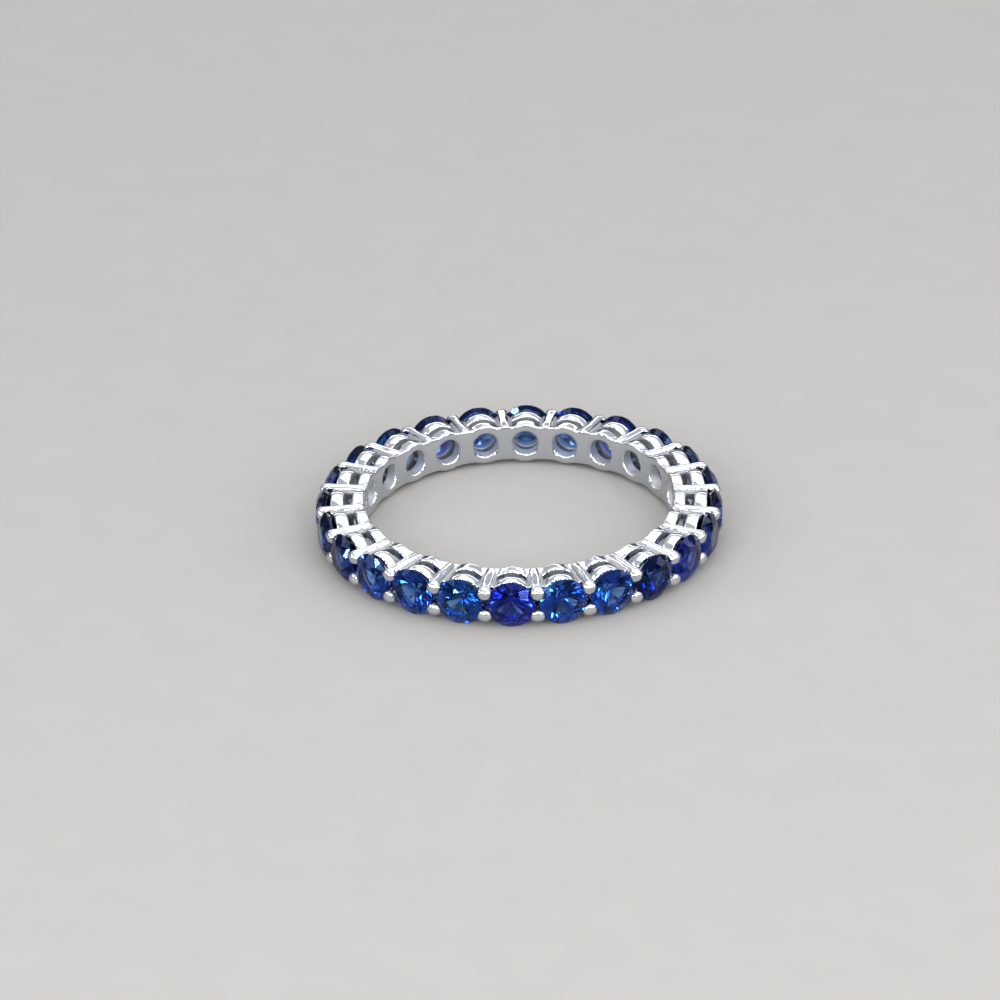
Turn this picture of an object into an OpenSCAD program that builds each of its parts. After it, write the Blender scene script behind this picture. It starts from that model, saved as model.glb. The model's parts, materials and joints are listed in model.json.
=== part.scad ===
// Eternity ring: a cast white metal setting with round brilliant sapphires all the way round.
// Millimetres. +Z is the finger's axis. The ring lies on its side on z = 0, as it does on a table.

/* [Finger] */
// Inner diameter, US ring size 6 1/2
finger_d = 16.9; // [14:0.1:22]

/* [Stones] */
// Number of stones round the ring
stone_count = 24; // [20:1:28]
// Gap between the girdles of neighbouring stones
stone_gap = 0.2; // [0.1:0.02:0.3]
// Table's corner to corner width as a share of the stone's diameter
table_share = 0.57; // [0.5:0.01:0.66]
// Angle of the crown's main facets
crown_angle = 34; // [28:1:38]
// Angle of the pavilion's main facets
pavilion_angle = 41; // [38:1:43]
// Thickness of the girdle at the main facets
girdle_t = 0.08; // [0.06:0.01:0.12]
// Length of the star facets as a share of the crown's slope
star_share = 0.5; // [0.4:0.05:0.6]
// Length of the lower girdle facets as a share of the pavilion's slope
lower_share = 0.77; // [0.7:0.01:0.85]
// Play between a stone and its seat
seat_gap = 0.02; // [0.01:0.005:0.04]

/* [Baskets] */
// Radial thickness of the inner band, which is also the lower gallery
band_t = 0.64; // [0.5:0.02:0.9]
// Radial height of the open slot between the two galleries
slot_h = 0.45; // [0.3:0.02:0.6]
// Radial height of the upper gallery
gallery_h = 0.73; // [0.5:0.02:0.9]
// Radial distance from the upper gallery's rim to the middle of the girdle
girdle_rise = 0.38; // [0.3:0.02:0.5]
// How far the inner band's edge slopes down between the baskets, from the finger to the slot
band_slope = 0.2; // [0.1:0.01:0.3]
// How far the lower gallery's barrel stands inside the girdle
lower_inset = 0.14; // [0.08:0.01:0.25]
// How far the upper gallery's barrel stands inside the girdle
upper_inset = 0.1; // [0.06:0.01:0.2]
// Diameter of the azure, the round hole behind each stone
azure_d = 1.4; // [1:0.05:1.6]

/* [Prongs] */
// Width of a prong's bar
prong_w = 0.54; // [0.4:0.02:0.6]
// Depth of a prong's bar
prong_h = 0.45; // [0.35:0.02:0.5]
// Chamfer along a prong's upper edges
prong_chamfer = 0.1; // [0.03:0.01:0.12]
// Angle at which a bar leans towards the ring's middle plane on its way out
prong_lean = 2; // [0:0.5:4]
// Width of the shoulder under the bar, which joins neighbouring baskets
shoulder_w = 0.92; // [0.8:0.02:1]
// Depth of the shoulder
shoulder_h = 0.6; // [0.5:0.02:0.7]
// How far the shoulder lies below the top of the bar
shoulder_drop = 0.12; // [0.08:0.01:0.2]
// Height of the slope at each side of the shoulder
shoulder_slope = 0.15; // [0.1:0.01:0.2]
// Diameter of the bead at a prong's end
bead_d = 0.68; // [0.62:0.02:0.8]
// Diameter of the tip below the bead, which fills the notch between two stones
tip_d = 0.46; // [0.4:0.02:0.52]
// How far a bead and its tip reach over the girdle
bead_grip = 0.08; // [0.04:0.01:0.12]
// How far a bead stands out past the middle of the girdle, at its centre
bead_out = 0.03; // [0:0.01:0.12]
// How far a bead stands proud of its bar
bead_proud = 0.06; // [0.02:0.01:0.1]
// How far the band's inner edge lies below the top of the bars
rim_drop = 0.03; // [0.02:0.01:0.1]

/* [Hidden] */
$fn = 96;
over = 0.5;
pitch = 360 / stone_count;

// Radii from the finger's axis
finger_r = finger_d / 2;
band_r = finger_r + band_t;
gallery_r0 = band_r + slot_h;
gallery_r1 = gallery_r0 + gallery_h;
girdle_r = gallery_r1 + girdle_rise;
bead_r0 = girdle_r + bead_out;

// One stone, about its own axis, with the middle of the girdle at 0 and the table up
stone_r = girdle_r * tan(pitch / 2) - stone_gap / 2;
mains = 8;
sector = 360 / mains;
half = sector / 2;
quarter = sector / 4;
girdle_z = girdle_t / 2;
table_r = stone_r * table_share;
table_z = girdle_z + (stone_r - table_r) * tan(crown_angle);
star_r = table_r * cos(half) + star_share * (stone_r - table_r * cos(half));
star_z = girdle_z + tan(crown_angle) * (stone_r - star_r * cos(half));
lower_r = stone_r * (1 - lower_share) / cos(half);
lower_z = -girdle_z - tan(pavilion_angle) * (stone_r - lower_r * cos(half));
culet_z = -girdle_z - tan(pavilion_angle) * stone_r;
upper_dip = (star_z - girdle_z) / (stone_r - star_r) / cos(quarter) * stone_r * (1 - cos(quarter));
lower_dip = (-girdle_z - lower_z) / (stone_r - lower_r) / cos(quarter) * stone_r * (1 - cos(quarter));

// Height of the ring's middle plane, and heights from it
mid_z = stone_r;
bead_r = bead_d / 2;
bead_side = bead_r0 * sin(pitch / 2);
function grip_z(r) = sqrt(pow(stone_r + r - bead_grip, 2) - pow(bead_side, 2));
prong_top = grip_z(bead_r) + bead_r - bead_proud + (bead_r0 - finger_r) * tan(prong_lean);
rim_z = prong_top - rim_drop;

function stone_name(i) = str("sapphire_", i < 10 ? "0" : "", i);

// Turns its children to the axis of stone i, with X pointing outwards. A pair of prongs is at the front
module at_stone(i) {
    rotate([0, 0, -90 + (i - 0.5) * pitch]) children();
}

// Turns what stands on +Z to point outwards along +X, with its base at radius r
module outwards(r) {
    translate([r, 0, 0]) rotate([0, 90, 0]) children();
}

// Carries a section along a bar's lean, from the finger's hole to radius r1. It is drawn in side and
// height, with the top of the bar at 0
module along_bar(r1, section) {
    translate([finger_r, 0, prong_top]) rotate([0, prong_lean, 0])
        translate([-over, 0, 0]) rotate([90, 0, 90])
            linear_extrude((r1 - finger_r) / cos(prong_lean) + over) polygon(section);
}

// Inner band and lower gallery: a hoop whose edges rise in an arc behind each stone
module band() {
    slope = band_slope / band_t;
    hoop = [[finger_r - over, rim_z], [finger_r, rim_z], [band_r + over, rim_z - slope * (band_t + over)]];
    intersection() {
        cylinder(r = band_r, h = stone_r * 2, center = true);
        union() {
            rotate_extrude() polygon(concat(hoop, [for (k = [2:-1:0]) [hoop[k][0], -hoop[k][1]]]));
            for (i = [1:stone_count]) at_stone(i)
                outwards(finger_r - over) cylinder(r = stone_r - lower_inset, h = band_t + over * 2);
        }
    }
}

// Upper gallery of one basket
module gallery() {
    outwards(gallery_r0) cylinder(r = stone_r - upper_inset, h = gallery_h);
}

// Prong shared by two stones: a leaning bar, the shoulder under it, and the bead and tip at its end
module prong() {
    w = prong_w / 2;
    s = shoulder_w / 2;
    c = prong_chamfer;
    d = shoulder_drop;
    along_bar(bead_r0, [[-w, -prong_h], [w, -prong_h], [w, -c], [w - c, 0], [c - w, 0], [-w, -c]]);
    along_bar(gallery_r1, [
        [-s, -d - shoulder_h], [s, -d - shoulder_h], [s, -d - shoulder_slope],
        [w, -d], [-w, -d], [-s, -d - shoulder_slope]]);
    for (r = [bead_r, tip_d / 2]) translate([bead_r0, 0, grip_z(r)]) sphere(r = r);
}

// Space for a stone with its play, about the stone's axis
module seat() {
    g = seat_gap;
    rotate_extrude() polygon([
        [0, culet_z - g * 2], [lower_r + g, lower_z - g], [stone_r + g, -girdle_z - g],
        [stone_r + g, girdle_z + g], [star_r + g, star_z + g], [table_r + g, table_z + g],
        [0, table_z + g]]);
}

// Polished setting, cast in one piece
module setting() {
    color("gainsboro") translate([0, 0, mid_z]) difference() {
        union() {
            band();
            for (i = [1:stone_count]) at_stone(i) {
                gallery();
                for (side = [0, 1]) mirror([0, 0, side]) rotate([0, 0, pitch / 2]) prong();
            }
        }
        cylinder(r = finger_r, h = stone_r * 3, center = true);
        for (i = [1:stone_count]) at_stone(i) {
            outwards(finger_r - over) cylinder(d = azure_d, h = girdle_r - finger_r + over);
            outwards(girdle_r) seat();
        }
    }
}

// Ring of points of a stone: radius, height, first angle and the angle between them
function points_round(r, z, first, step) = [for (a = [first:step:first + 359]) [r * cos(a), r * sin(a), z]];

// Girdle's edge, which dips between the points where the facets meet it
function girdle_edge(z, dip) = [for (j = [0:mains * 4 - 1])
    [stone_r * cos(j * quarter), stone_r * sin(j * quarter), j % 2 == 0 ? z : z - dip]];

// Round brilliant: table, stars, kites, upper girdle facets, girdle, lower girdle facets and pavilion mains
module brilliant() {
    g = mains * 4;
    table = 0;
    stars = table + mains;
    top = stars + mains;
    bottom = top + g;
    lowers = bottom + g;
    culet = lowers + mains;
    points = concat(
        points_round(table_r, table_z, 0, sector), points_round(star_r, star_z, half, sector),
        girdle_edge(girdle_z, upper_dip), girdle_edge(-girdle_z, -lower_dip),
        points_round(lower_r, lower_z, half, sector), [[0, 0, culet_z]]);
    faces = concat(
        [[for (k = [mains - 1:-1:0]) table + k]],
        [for (k = [0:mains - 1]) [table + k, table + (k + 1) % mains, stars + k]],
        [for (k = [0:mains - 1]) [table + k, stars + k, top + 4 * k, stars + (k + mains - 1) % mains]],
        [for (k = [0:mains - 1]) for (h = [0, 2])
            [stars + k, top + (4 * k + h + 2) % g, top + 4 * k + h + 1, top + 4 * k + h]],
        [for (j = [0:g - 1]) [top + j, top + (j + 1) % g, bottom + (j + 1) % g, bottom + j]],
        [for (k = [0:mains - 1]) for (h = [0, 2])
            [lowers + k, bottom + 4 * k + h, bottom + 4 * k + h + 1, bottom + (4 * k + h + 2) % g]],
        [for (k = [0:mains - 1]) [culet, lowers + (k + mains - 1) % mains, bottom + 4 * k, lowers + k]]);
    polyhedron(points = points, faces = faces);
}

// Stone i, turned about its own axis by a whole number of girdle steps, as stones are set at random
module sapphire(i) {
    shades = ["mediumblue", "royalblue", "midnightblue", "steelblue", "navy"];
    color(shades[(i * 3) % len(shades)]) translate([0, 0, mid_z])
        at_stone(i) outwards(girdle_r) rotate([0, 0, (i * i * 3 % 4) * quarter]) brilliant();
}

setting();
for (i = [1:stone_count]) sapphire(i);
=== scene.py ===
import json
from math import cos, pi, radians, sin, tan

import bmesh
import bpy
import numpy as np
from mathutils import Matrix, Vector


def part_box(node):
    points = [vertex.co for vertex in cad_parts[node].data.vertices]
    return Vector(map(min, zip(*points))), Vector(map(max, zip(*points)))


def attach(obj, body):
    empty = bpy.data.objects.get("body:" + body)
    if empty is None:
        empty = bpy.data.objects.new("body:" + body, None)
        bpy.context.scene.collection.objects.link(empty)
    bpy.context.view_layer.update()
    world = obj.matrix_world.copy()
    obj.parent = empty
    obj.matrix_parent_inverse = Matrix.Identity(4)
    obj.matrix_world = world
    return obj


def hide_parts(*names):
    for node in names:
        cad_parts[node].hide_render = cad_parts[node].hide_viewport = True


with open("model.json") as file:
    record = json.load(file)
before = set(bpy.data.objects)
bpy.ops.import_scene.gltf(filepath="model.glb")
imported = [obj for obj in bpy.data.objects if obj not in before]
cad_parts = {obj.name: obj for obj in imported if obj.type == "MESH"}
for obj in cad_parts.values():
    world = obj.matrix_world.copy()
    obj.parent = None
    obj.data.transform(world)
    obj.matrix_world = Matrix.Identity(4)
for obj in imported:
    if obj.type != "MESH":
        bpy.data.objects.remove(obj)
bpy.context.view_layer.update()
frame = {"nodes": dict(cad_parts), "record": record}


# Setting
# The setting is cast in one piece in 14 ct white gold: an inner band pierced by an azure behind each
# stone, an open basket round each stone, and a pair of prongs between every two stones. It is worked
# out in millimetres as one cell, from a stone's axis to the next prong and from the middle plane up.
MM = 0.001

stones = sorted(name for name in frame["nodes"] if name.startswith("sapphire"))
pitch = 2 * pi / len(stones)
mid_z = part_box(stones[0])[1].z / 2 / MM
stone_r = mid_z
finger_r = next(m for m in frame["record"]["mounts"] if m["name"] == "finger_bore")["dims"]["r_mm"]
stone_gap = 0.2
girdle_r = (stone_r + stone_gap / 2) / tan(pitch / 2)
girdle_t = 0.08
seat_gap = 0.02
crown_angle = radians(34)
pavilion_angle = radians(41)

band_t = 0.64
slot_h = 0.45
gallery_h = 0.73
band_r = finger_r + band_t
gallery_r0 = band_r + slot_h
gallery_r1 = gallery_r0 + gallery_h
rim_z = 1.033
rim_drop = 0.03
band_slope = 0.2
band_barrel_r = stone_r - 0.14
gallery_barrel_r = stone_r - 0.1
azure_r = 0.7
edge_r = 0.11

prong_top = rim_z + rim_drop
prong_lean = radians(2)
shoulder_w = 0.92
shoulder_h = 0.6
shoulder_drop = 0.12


def shell(name, rings):
    """A closed shell: rings of points, each joined to the next by a band of quads, with a flat face on
    the first ring and on the last."""
    count, around = rings.shape[:2]
    i, j = np.meshgrid(np.arange(count - 1), np.arange(around), indexing="ij")
    k = (j + 1) % around
    this, after = i * around, (i + 1) * around
    quads = np.stack([this + j, this + k, after + k, after + j], axis=-1)
    first = list(range(around - 1, -1, -1))
    last = list(range((count - 1) * around, count * around))
    mesh = bpy.data.meshes.new(name)
    mesh.from_pydata(rings.reshape(-1, 3), [], quads.reshape(-1, 4).tolist() + [first, last])
    work = bmesh.new()
    work.from_mesh(mesh)
    bmesh.ops.recalc_face_normals(work, faces=work.faces)
    work.to_mesh(mesh)
    work.free()
    piece = bpy.data.objects.new(name, mesh)
    bpy.context.scene.collection.objects.link(piece)
    return piece


def quarter_circle(x, y, radius, start, steps):
    """Points round (x, y): radius times the cosine and sine of an angle that falls from start through a
    right angle."""
    angle = start - np.linspace(0, pi / 2, steps)
    return np.stack([x + radius * np.cos(angle), y + radius * np.sin(angle)], axis=-1)


def lathe(profile, angles):
    """A surface of revolution about the stone's axis, which is X: each profile point, a radius from the
    finger's axis and a distance from the stone's axis, goes round to every angle."""
    along, off = (column[:, None] for column in np.array(profile).T)
    return np.stack([along + 0 * angles, off * np.sin(angles), off * np.cos(angles)], axis=-1)


def carried_over(table, places):
    """Rows of a short table, whose first column is a place, carried over to other places: between two
    rows each value goes over in an S curve, 3 s squared minus 2 s cubed, so nothing has a kink."""
    row = np.clip(np.searchsorted(table[:, 0], places, side="right") - 1, 0, len(table) - 2)
    s = np.clip((places - table[row, 0]) / (table[row + 1, 0] - table[row, 0]), 0, 1)
    s = (s * s * (3 - 2 * s))[:, None]
    return (table[row, 1:] * (1 - s) + table[row + 1, 1:] * s).T


def inner_band():
    """The hoop under the stones, a function of the angle round the finger and the place along its
    section. The section's top is the larger of the sloping hoop and of the barrel's arc behind the
    stone, smoothed: half of the sum of the two and of the root of their difference squared plus the
    blend squared. Both its edges are quarter circles. It reaches past both planes of the cell and below
    the middle plane, where the cell is cut."""
    past = 0.12
    angle = np.linspace(-past, 1 + past, 15) * pitch / 2
    inside = quarter_circle(finger_r + edge_r, 0, edge_r, pi, 5)
    outside = quarter_circle(band_r - edge_r, 0, edge_r, pi / 2, 5)
    flat = np.linspace(finger_r + edge_r, band_r - edge_r, 5)[1:-1]
    radius = np.concatenate([[finger_r, finger_r], inside[:, 0], flat, outside[:, 0], [band_r, band_r]])
    drop = np.concatenate([[0, 0], edge_r - inside[:, 1], 0 * flat, edge_r - outside[:, 1], [0, 0]])
    a, r = np.meshgrid(angle, radius, indexing="ij")
    hoop = rim_z - band_slope / band_t * (r - finger_r)
    barrel = np.sqrt(np.maximum(band_barrel_r ** 2 - (r * np.sin(a)) ** 2, 0))
    blend, foot = 0.04, 0.3
    z = (hoop + barrel + np.sqrt((hoop - barrel) ** 2 + blend ** 2)) / 2 - drop
    z[:, [0, -1]] = -foot
    z[:, [1, -2]] = foot
    return shell("inner_band", np.stack([r * np.cos(a), r * np.sin(a), z], axis=-1))


def gallery():
    """The upper gallery of one basket, a short tube about the stone's axis. Its bore is the azure and
    then a cone under the stone's back. Its outer edges are quarter circles, and between them its skin
    is crowned by a parabola, four times the crown times s times one minus s."""
    seat_r = girdle_r - girdle_t / 2 - seat_gap
    cone_r = seat_r - (stone_r + seat_gap - azure_r) * tan(pavilion_angle)
    mouth = stone_r + seat_gap - (seat_r - gallery_r1) / tan(pavilion_angle)
    small, crown = 0.04, 0.035
    side_r = gallery_barrel_r - crown
    s = np.linspace(0, 1, 6)[1:-1]
    skin_x = gallery_r0 + edge_r + s * (gallery_h - 2 * edge_r)
    skin = np.stack([skin_x, side_r + 4 * crown * s * (1 - s)], axis=-1)
    profile = np.concatenate([
        quarter_circle(gallery_r0 + small, azure_r + small, small, -pi / 2, 3),
        quarter_circle(gallery_r0 + edge_r, side_r - edge_r, edge_r, pi, 5),
        skin,
        quarter_circle(gallery_r1 - edge_r, side_r - edge_r, edge_r, pi / 2, 5),
        [[gallery_r1, mouth + small], [gallery_r1 - small / 2, mouth], [cone_r, azure_r]],
    ])
    # a quarter turn, and 6 degrees past each of its ends, where the cell is cut
    angles = np.radians(np.linspace(-6, 96, 22))
    return shell("gallery", lathe(profile, angles).swapaxes(0, 1))


def rounded_section(x, z, direction, half_w, half_h, square):
    """Sections of a rod that runs in the plane of a prong, each a superellipse, whose corners are
    rounder the nearer square is to 2. X and Z place its centre and direction is the way that the rod
    runs, as an angle down from straight out."""
    steps = 16
    angle = (np.arange(steps) + 0.5) / steps * 2 * pi
    side = half_w[:, None] * np.sign(np.cos(angle)) * np.abs(np.cos(angle)) ** (2 / square[:, None])
    up = half_h[:, None] * np.sign(np.sin(angle)) * np.abs(np.sin(angle)) ** (2 / square[:, None])
    along = x[:, None] + up * np.sin(direction)[:, None]
    high = z[:, None] + up * np.cos(direction)[:, None]
    c, s = cos(pitch / 2), sin(pitch / 2)
    return np.stack([along * c - side * s, along * s + side * c, high], axis=-1)


def prong():
    """A prong, from the finger's hole out along its bar and down over the girdles. Its sections follow
    the bar's lean, then turn about an elbow by a right angle, with the middle of each section its half
    height and the elbow's radius away from the elbow, then run on down in a claw that closes as the
    square root of one minus the square of the place along it."""
    # place (0 to 1 along the bar, to 2 round the elbow, to 3 down the claw), half width, half height,
    # squareness
    sections = np.array([
        (0.00, 0.22, 0.175, 2.6),
        (0.03, 0.267, 0.215, 2.6),
        (0.08, 0.28, 0.225, 2.6),
        (0.80, 0.28, 0.225, 2.6),
        (1.00, 0.29, 0.235, 2.5),
        (1.65, 0.425, 0.30, 2.05),
        (2.00, 0.385, 0.25, 2.0),
        (3.00, 0.33, 0.24, 2.0)])
    elbow_x, elbow_z, elbow_r = girdle_r - 0.15, prong_top - 0.552, 0.03
    claw, nearly_closed = 0.22, 0.97
    start_x = finger_r + 0.012
    along_bar = [0, 0.015, 0.04, 0.08, 0.5, 0.8, 0.9]
    round_elbow = 1 + np.linspace(0, 1, 9)
    down_claw = 2 + np.sin(np.linspace(0.1, 1, 9) * pi / 2 * nearly_closed)
    place = np.concatenate([along_bar, round_elbow, down_claw])
    half_w, half_h, square = carried_over(sections, place)
    turned = prong_lean + np.clip(place - 1, 0, 1) * pi / 2
    down = np.clip(place - 2, 0, 1)
    closing = np.sqrt(1 - down ** 2)
    under_x = start_x + (elbow_x - start_x) * np.clip(place, 0, 1)
    under_z = elbow_z + (elbow_x - under_x) * tan(prong_lean)
    lift = elbow_r + half_h
    x = under_x + lift * np.sin(turned) + claw * down * np.cos(turned)
    z = under_z + lift * np.cos(turned) - claw * down * np.sin(turned)
    return shell("prong", rounded_section(x, z, turned, half_w * closing, half_h * closing, square))


def shoulder():
    """The web under a prong, which joins two neighbouring baskets: a rod whose section is a rectangle
    with rounded corners. It follows the bar's lean and is a little smaller at its ends."""
    # place along the web, share of the full section
    ends = np.array([(0, 0.9), (0.02, 0.96), (0.05, 1), (0.95, 1), (0.98, 0.97), (1, 0.9)])
    inset, squareness = 0.03, 3.6
    x = finger_r + inset + (gallery_r1 - finger_r - inset) * ends[:, 0]
    middle = prong_top - shoulder_drop - shoulder_h / 2 - (x - finger_r) * tan(prong_lean)
    half_w, half_h = shoulder_w / 2 * ends[:, 1], shoulder_h / 2 * ends[:, 1]
    same = np.ones(len(x))
    return shell("shoulder", rounded_section(
        x, middle, prong_lean * same, half_w, half_h, squareness * same))


def azure():
    """The hole drilled through the band behind a stone. At the finger it flares in a quarter circle, and
    it reaches past both faces of the band."""
    flare, flare_end = 0.14, 0.12
    before, beyond = 0.6, 0.2
    sweep = np.linspace(1, 0, 6)
    flare_x = finger_r + flare_end - flare * sweep
    flare_r = azure_r + flare * (1 - np.sqrt(1 - sweep ** 2))
    profile = np.concatenate([
        [[finger_r - before, azure_r + flare]],
        np.stack([flare_x, flare_r], axis=-1),
        [[band_r + beyond, azure_r]]])
    return shell("azure", lathe(profile, np.linspace(0, 2 * pi, 72, endpoint=False)))


def seat():
    """Room for a stone and its play: the stone's section, grown by the play and by a little more towards
    the culet, where nothing touches it, and turned about the stone's axis."""
    table_share, point_r = 0.57, 0.02
    table_r = stone_r * table_share
    table_z = girdle_t / 2 + (stone_r - table_r) * tan(crown_angle)
    profile = [
        [girdle_r - stone_r, point_r],
        [girdle_r - girdle_t / 2 - seat_gap, stone_r + seat_gap],
        [girdle_r + girdle_t / 2 + seat_gap, stone_r + seat_gap],
        [girdle_r + table_z + seat_gap, table_r + seat_gap]]
    return shell("seat", lathe(profile, np.linspace(0, 2 * pi, 96, endpoint=False)))


def cell_room():
    """The wedge that one cell fills, from the stone's axis to the prong's plane and from z = 0 up."""
    margin = 1
    near, far, high = finger_r - margin, girdle_r + margin, stone_r + margin
    c, s = cos(pitch / 2), sin(pitch / 2)
    corners = np.array([(near, 0), (far, 0), (far * c, far * s), (near * c, near * s)])
    return shell("cell_room", np.stack([np.column_stack([corners, [z] * 4]) for z in (0.0, high)]))


def cell():
    """The band, gallery, web and prong of one cell fused, less the azure and the stone's seat, and cut
    to the cell's room. The faces on the cuts are left out, so that cells join to a closed skin."""
    made = inner_band()
    steps = [
        ("UNION", gallery()), ("UNION", shoulder()), ("UNION", prong()),
        ("DIFFERENCE", azure()), ("DIFFERENCE", seat()), ("INTERSECT", cell_room())]
    for operation, tool in steps:
        boolean = made.modifiers.new(operation, "BOOLEAN")
        boolean.operation, boolean.object, boolean.solver = operation, tool, "MANIFOLD"
    fused = bpy.data.meshes.new_from_object(made.evaluated_get(bpy.context.evaluated_depsgraph_get()))
    for piece in [made] + [tool for _, tool in steps]:
        bpy.data.objects.remove(piece)
    points = np.array([v.co for v in fused.vertices])
    c, s = cos(pitch / 2), sin(pitch / 2)
    cuts = np.stack([points[:, 1], points[:, 2], points[:, 1] * c - points[:, 0] * s], axis=-1)
    touching = 1e-5
    on_cut = np.abs(cuts) < touching
    faces = [list(p.vertices) for p in fused.polygons]
    return points, [face for face in faces if not on_cut[face].all(axis=0).any()]


def finishes_and_painted_light(points, faces):
    """0 for each polished face, 1 for one in the azure, within its radius of the stone's axis and past
    its polished mouth, and 2 for one in the slot, between its two walls."""
    margin, mouth = 0.01, 0.05
    x, y, z = np.array([points[face].mean(axis=0) for face in faces]).T
    # index 1 also gives the azure faces a lighter colour, painted light, and index 2 gives the slot faces a
    # darker colour, painted shade
    in_azure = (np.hypot(y, z) < azure_r + margin / 2) & (x > finger_r + mouth)
    in_slot = (x > band_r - margin) & (x < gallery_r0 + margin)
    return np.where(in_azure, 1, np.where(in_slot, 2, 0)).astype(np.int32)


def setting():
    """The cell and its mirror images across the middle plane and the stone's plane, turned round the
    ring once for each stone, with the points on the seams merged."""
    seam, crease = 0.0005 * MM, radians(38)
    points, faces = cell()
    all_points, all_faces = [], []
    for stone in range(len(stones)):
        angle = -pi / 2 + (stone + 0.5) * pitch
        c, s = cos(angle), sin(angle)
        turn = np.array([(c, s, 0), (-s, c, 0), (0, 0, 1)])
        for side in (1, -1):
            for up in (1, -1):
                first = len(all_points) * len(points)
                all_points.append(points * (1, side, up) @ turn + (0, 0, mid_z))
                all_faces += [[first + v for v in face[::side * up]] for face in faces]
    mesh = bpy.data.meshes.new("setting_cast")
    mesh.from_pydata(np.concatenate(all_points) * MM, [], all_faces)
    mesh.polygons.foreach_set("material_index", np.tile(finishes_and_painted_light(points, faces), 4 * len(stones)))
    work = bmesh.new()
    work.from_mesh(mesh)
    bmesh.ops.remove_doubles(work, verts=work.verts, dist=seam)
    work.to_mesh(mesh)
    work.free()
    mesh.shade_smooth()
    mesh.set_sharp_from_angle(angle=crease)
    piece = bpy.data.objects.new("setting_cast", mesh)
    bpy.context.scene.collection.objects.link(piece)
    weighted = piece.modifiers.new("polish", "WEIGHTED_NORMAL")
    weighted.keep_sharp = True
    return piece


def linear(hex_colour):
    """An sRGB hex colour turned to linear red, green, blue and an alpha of 1."""
    shares = [int(hex_colour[k:k + 2], 16) / 255 for k in (1, 3, 5)]
    return [s / 12.92 if s <= 0.04045 else ((s + 0.055) / 1.055) ** 2.4 for s in shares] + [1.0]


def add_node(tree, kind, settings={}, links={}):
    """A new node: settings go to its properties or its input sockets by name, and links join its inputs
    to outputs of other nodes."""
    node = tree.nodes.new(kind)
    for name, value in settings.items():
        if hasattr(node, name):
            setattr(node, name, value)
        else:
            node.inputs[name].default_value = value
    for name, output in links.items():
        tree.links.new(output, node.inputs[name])
    return node


def new_material(name):
    """An empty node material with its output node."""
    material = bpy.data.materials.new(name)
    material.use_nodes = True
    material.node_tree.nodes.clear()
    return material, material.node_tree, material.node_tree.nodes.new("ShaderNodeOutputMaterial")


def rhodium_plated_white_gold(name, colour, smoothest, roughest):
    """White gold under rhodium, pale and cool. Buffed to a high polish it is mirror bright, with the
    slight waviness of hand polishing, about 0.7 mm from crest to crest, that breaks its reflections up.
    Where the buff can't reach it stays satin, which gives broad soft reflections. The marks of the buff
    and the grain of a cast skin are too fine to show, so both are drawn coarser, at 0.05 mm."""
    wave_mm, wave_depth_mm = 0.7, 0.03
    mark_mm, mark_depth_mm = 0.05, 0.0004
    material, tree, output = new_material(name)
    place = add_node(tree, "ShaderNodeTexCoord").outputs["Object"]
    wave = add_node(
        tree, "ShaderNodeTexNoise", {"Scale": 1 / (wave_mm * MM), "Detail": 2.0}, {"Vector": place})
    marks = add_node(
        tree, "ShaderNodeTexNoise", {"Scale": 1 / (mark_mm * MM), "Detail": 3.0}, {"Vector": place})
    rough = add_node(
        tree, "ShaderNodeMapRange",
        {"From Min": 0.3, "From Max": 0.7, "To Min": smoothest, "To Max": roughest},
        {"Value": marks.outputs["Fac"]})
    ripple = add_node(
        tree, "ShaderNodeBump", {"Strength": 1.0, "Distance": wave_depth_mm * MM},
        {"Height": wave.outputs["Fac"]})
    fine = add_node(
        tree, "ShaderNodeBump", {"Strength": 0.3, "Distance": mark_depth_mm * MM},
        {"Height": marks.outputs["Fac"], "Normal": ripple.outputs["Normal"]})
    # the colour given to each copy carries painted light and shade: the azure copy's lighter colour is
    # painted light, the slot copy's darker colour is painted shade
    metal = add_node(
        tree, "ShaderNodeBsdfPrincipled", {"Base Color": linear(colour), "Metallic": 1.0},
        {"Roughness": rough.outputs["Result"], "Normal": fine.outputs["Normal"]})
    tree.links.new(metal.outputs["BSDF"], output.inputs["Surface"])
    return material


setting_cast = setting()
# name, colour, roughness at its smoothest and roughest: the polished skin, the azures and the slots.
# The azures' colour is lighter than the polished skin's, painted light, and the slots' colour is
# darker, painted shade; their roughness is the real dull skin of drilled and cast metal.
for finish_and_paint in [
        ("polished_white_gold", "#CDD0D5", 0.04, 0.1),
        ("drilled_white_gold", "#DDDFE2", 0.45, 0.6),
        ("cast_white_gold", "#A2A4A8", 0.4, 0.55)]:
    setting_cast.data.materials.append(rhodium_plated_white_gold(*finish_and_paint))
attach(setting_cast, "root")
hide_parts("setting")


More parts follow.
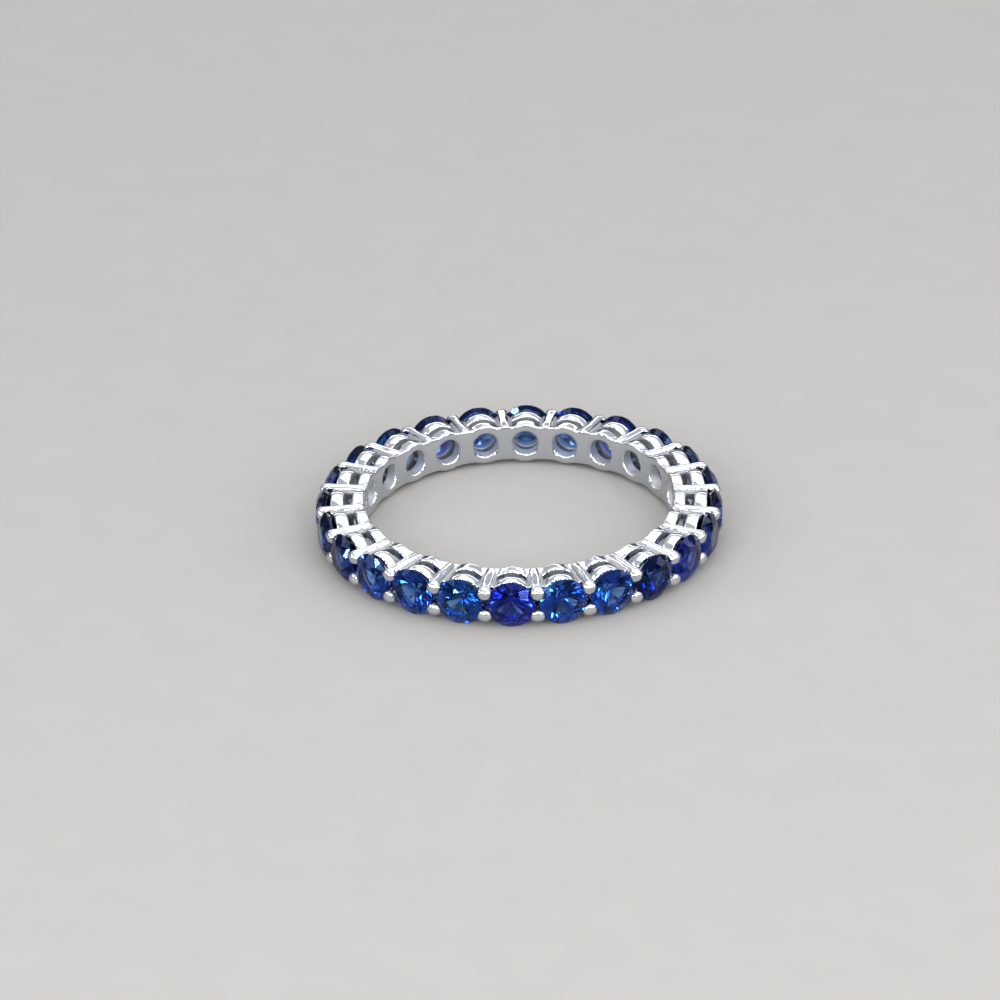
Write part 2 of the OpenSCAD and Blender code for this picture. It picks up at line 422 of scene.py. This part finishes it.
# Sapphires
# Round brilliants of 2.6 mm in natural blue sapphire, cut and polished one by one, so their colours
# differ a little from stone to stone. Each rests on its gallery under four prongs. The stones are the
# CAD nodes themselves, with their flat facets.
def sapphire_material(name, surface, glint, body, density):
    """Faceted sapphire, clear and deep blue. The body soaks up all but its own colour along a ray's
    path, at so much per metre. The surface is streaked by faint growth zones 0.5 mm apart, and the
    glint tints its reflections, which keeps the pale table's reflection from greying the stone."""
    zone_mm, sapphire_ior = 0.5, 1.77
    material, tree, output = new_material(name)
    place = add_node(tree, "ShaderNodeTexCoord").outputs["Object"]
    zones = add_node(
        tree, "ShaderNodeTexNoise", {"Scale": 1 / (zone_mm * MM), "Detail": 1.0}, {"Vector": place})
    tint = add_node(
        tree, "ShaderNodeMix", {"data_type": "RGBA", "A": linear(surface), "B": linear("#FFFFFF")},
        {"Factor": zones.outputs["Fac"]})
    glass = add_node(
        tree, "ShaderNodeBsdfPrincipled",
        {"Roughness": 0.0, "IOR": sapphire_ior, "Transmission Weight": 1.0, "Specular Tint": linear(glint)},
        {"Base Color": tint.outputs["Result"]})
    soak = add_node(tree, "ShaderNodeVolumeAbsorption", {"Color": linear(body), "Density": density})
    tree.links.new(glass.outputs["BSDF"], output.inputs["Surface"])
    tree.links.new(soak.outputs["Volume"], output.inputs["Volume"])
    return material


# colour of the surface, of its reflections and of the body, and how strongly the body soaks light up
shades = {
    "royal": sapphire_material("royal_blue_sapphire", "#DDE6FF", "#657FB6", "#00A3E0", 1490),
    "violet": sapphire_material("violet_blue_sapphire", "#E2E0FF", "#6A79B8", "#0083E0", 1750),
    "teal": sapphire_material("teal_blue_sapphire", "#DDF4FF", "#6088B6", "#00A9E0", 1580),
    "navy": sapphire_material("navy_sapphire", "#D6DEFA", "#5A70A0", "#0096D6", 2300),
}
# stone 1 is the first to the right of the front, and they count anticlockwise seen from above
order = [
    "royal", "royal", "navy", "violet", "navy", "navy", "royal", "navy",
    "royal", "violet", "royal", "royal", "royal", "violet", "royal", "teal",
    "royal", "navy", "navy", "navy", "royal", "royal", "teal", "violet"]
for name, shade in zip(stones, order):
    node = frame["nodes"][name]
    node.data.materials.clear()
    node.data.materials.append(shades[shade])


# Table
# A plain pale matt board. The ring lies loose on it on the girdles of its stones, which reach 0.1 mm
# further down than the galleries.
def pale_board():
    """Pale matt board with the faint mottle of paper pulp, about 3 mm across."""
    mottle_mm = 3
    material, tree, output = new_material("pale_matt_board")
    place = add_node(tree, "ShaderNodeTexCoord").outputs["Object"]
    pulp = add_node(
        tree, "ShaderNodeTexNoise", {"Scale": 1 / (mottle_mm * MM), "Detail": 3.0}, {"Vector": place})
    tone = add_node(
        tree, "ShaderNodeMix", {"data_type": "RGBA", "A": linear("#979592"), "B": linear("#9C9A97")},
        {"Factor": pulp.outputs["Fac"]})
    board = add_node(
        tree, "ShaderNodeBsdfPrincipled", {"Roughness": 0.7, "Specular IOR Level": 0.2},
        {"Base Color": tone.outputs["Result"]})
    tree.links.new(board.outputs["BSDF"], output.inputs["Surface"])
    return material


half_side = 1.5
corners = [(x * half_side, y * half_side, 0) for x, y in ((-1, -1), (1, -1), (1, 1), (-1, 1))]
board_mesh = bpy.data.meshes.new("table")
board_mesh.from_pydata(corners, [], [(0, 1, 2, 3)])
board_mesh.materials.append(pale_board())
table = bpy.data.objects.new("table", board_mesh)
bpy.context.scene.collection.objects.link(table)


# Lights
# One large soft box hangs over the table and smaller ones stand round it, each turned to the ring. A
# fan of small lamps in front makes the stones sparkle. The room is dim at the horizon and lighter
# overhead.
def soft_box(name, direction, distance, width, height, power):
    """A rectangular area light that faces the ring from a direction and a distance in mm."""
    light = bpy.data.lights.new(name, "AREA")
    light.shape = "RECTANGLE"
    light.size, light.size_y = width * MM, height * MM
    light.energy = power
    lamp = bpy.data.objects.new(name, light)
    lamp.location = np.array(direction) / np.linalg.norm(direction) * distance * MM
    lamp.rotation_euler = Vector(direction).to_track_quat("Z", "Y").to_euler()
    bpy.context.scene.collection.objects.link(lamp)


soft_box("top_box", (0.2, 0.2, 1), 260, 440, 290, 0.47)
soft_box("back_box", (0.2, 1, 0.43), 300, 420, 42, 0.13)
soft_box("left_box", (-1, 0.1, 0.6), 280, 170, 110, 0.13)
soft_box("right_box", (1, -0.1, 0.4), 280, 180, 90, 0.13)
soft_box("front_left_box", (-0.7, -1, 0.62), 300, 70, 80, 0.12)
soft_box("front_right_box", (0.62, -1, 0.4), 300, 80, 50, 0.1)
# the fan: degrees from lamp to lamp, and degrees above the table, in turn
lamp_count, lamp_step = 26, 6
lamp_rises = (10, 36, 20, 50, 28)
for number in range(lamp_count):
    turn = radians((number - (lamp_count - 1) / 2) * lamp_step)
    rise = radians(lamp_rises[number % len(lamp_rises)])
    soft_box("lamp_%d" % number, (sin(turn), -cos(turn), tan(rise)), 300, 15, 15, 0.045)

world = bpy.data.worlds.new("room")
world.use_nodes = True
room = world.node_tree
way = add_node(room, "ShaderNodeTexCoord").outputs["Generated"]
upward = add_node(room, "ShaderNodeSeparateXYZ", {}, {"Vector": way}).outputs["Z"]
glow = add_node(
    room, "ShaderNodeMapRange",
    {"interpolation_type": "SMOOTHSTEP", "From Min": 0.12, "From Max": 0.6, "To Min": 0.12, "To Max": 0.76},
    {"Value": upward})
room.nodes["Background"].inputs["Color"].default_value = linear("#F2F5FA")
room.links.new(glow.outputs["Result"], room.nodes["Background"].inputs["Strength"])
bpy.context.scene.world = world
bpy.context.scene.view_settings.view_transform = "Standard"


# Camera
# It looks at the ring from 27 degrees above the table through a long lens. Its distance, and how far
# the ring lies off the middle of its view, are in mm.
camera_turn, camera_rise, camera_roll = radians(-4.4), radians(27.04), radians(-1.354)
camera_distance = 297.2
aim_side, aim_up = -1.034, 0.693
camera_data = bpy.data.cameras.new("camera")
camera_data.sensor_width = 36
camera_data.lens = 196.2
camera_data.clip_start, camera_data.clip_end = 0.01, 10
camera = bpy.data.objects.new("camera", camera_data)
camera.matrix_world = (
    Matrix.Rotation(camera_turn, 4, "Z") @ Matrix.Translation((aim_side * MM, 0, mid_z * MM))
    @ Matrix.Rotation(pi / 2 - camera_rise, 4, "X")
    @ Matrix.Translation((0, aim_up * MM, camera_distance * MM)) @ Matrix.Rotation(camera_roll, 4, "Z"))
bpy.context.scene.collection.objects.link(camera)
bpy.context.scene.camera = camera
